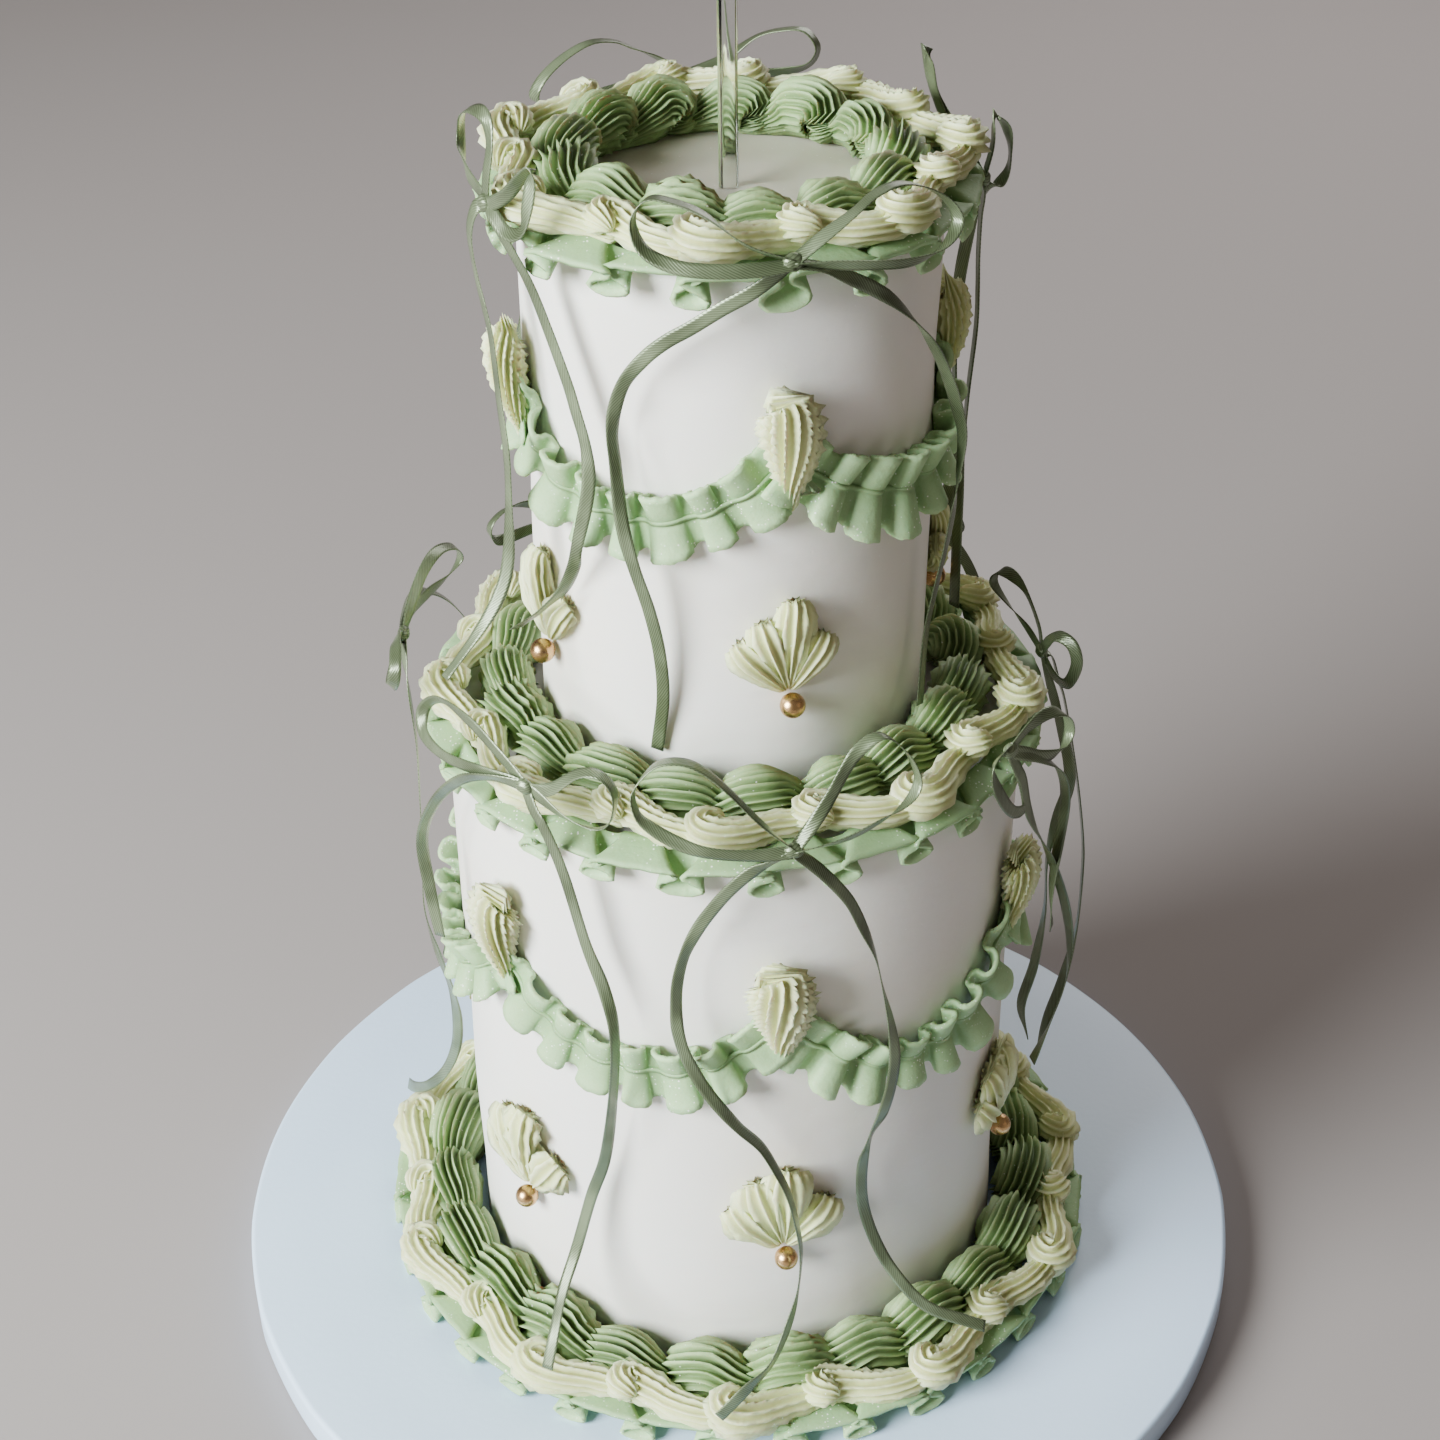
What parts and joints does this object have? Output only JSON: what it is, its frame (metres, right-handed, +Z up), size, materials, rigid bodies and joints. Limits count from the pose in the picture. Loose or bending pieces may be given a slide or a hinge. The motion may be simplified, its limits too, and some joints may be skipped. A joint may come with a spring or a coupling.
{
  "type": "tiered cake",
  "caption": "Tall two-tier celebration cake with piped scallops, garlands, ruffled swags, gold pearls, ribbon bows and a bare clear topper, built together with its round board.",
  "frame": {"origin": "middle of the underside of the board", "axes": "+Z up along the tiers' common axis, -Y towards the side that the picture shows as the front, +X to the right seen from there"},
  "size_m": [0.307, 0.307, 0.458],
  "materials": {
    "board_covering": "smooth white covered board, soft gloss",
    "ivory_buttercream": "smoothed ivory buttercream, faint sheen",
    "green_buttercream": "ridged sage green buttercream",
    "cream_buttercream": "ridged pale cream buttercream",
    "sage_satin": "narrow satin ribbon with a bright sheen",
    "gold_pearl": "metallic gold lustre, glossy",
    "clear_acrylic": "clear polished sheet"
  },
  "bodies": {
    "root": {"cake_board": "board_covering", "lower_tier": "ivory_buttercream", "upper_tier": "ivory_buttercream", "scallop_border_top": "green_buttercream", "garland_top": "cream_buttercream", "ruffle_top": "green_buttercream", "scallop_border_middle": "green_buttercream", "garland_middle": "cream_buttercream", "ruffle_middle": "green_buttercream", "scallop_border_base": "green_buttercream", "garland_base": "cream_buttercream", "ruffle_base": "green_buttercream", "swag_upper": "green_buttercream", "swag_lower": "green_buttercream", "drop_upper_0": "cream_buttercream", "fan_upper_0": "cream_buttercream", "pearl_upper_0": "gold_pearl", "drop_upper_1": "cream_buttercream", "fan_upper_1": "cream_buttercream", "pearl_upper_1": "gold_pearl", "drop_upper_2": "cream_buttercream", "fan_upper_2": "cream_buttercream", "pearl_upper_2": "gold_pearl", "drop_upper_3": "cream_buttercream", "fan_upper_3": "cream_buttercream", "pearl_upper_3": "gold_pearl", "drop_lower_0": "cream_buttercream", "fan_lower_0": "cream_buttercream", "pearl_lower_0": "gold_pearl", "drop_lower_1": "cream_buttercream", "fan_lower_1": "cream_buttercream", "pearl_lower_1": "gold_pearl", "drop_lower_2": "cream_buttercream", "fan_lower_2": "cream_buttercream", "pearl_lower_2": "gold_pearl", "drop_lower_3": "cream_buttercream", "fan_lower_3": "cream_buttercream", "pearl_lower_3": "gold_pearl", "drop_lower_4": "cream_buttercream", "fan_lower_4": "cream_buttercream", "pearl_lower_4": "gold_pearl", "drop_lower_5": "cream_buttercream", "fan_lower_5": "cream_buttercream", "pearl_lower_5": "gold_pearl", "bow_top_front": "sage_satin", "bow_top_left": "sage_satin", "bow_top_right": "sage_satin", "bow_top_back": "sage_satin", "bow_middle_front": "sage_satin", "bow_middle_front_left": "sage_satin", "bow_middle_front_right": "sage_satin", "bow_middle_right": "sage_satin", "bow_middle_back_right": "sage_satin", "bow_middle_back_left": "sage_satin", "bow_middle_left": "sage_satin", "topper": "clear_acrylic"}
  },
  "joints": []
}
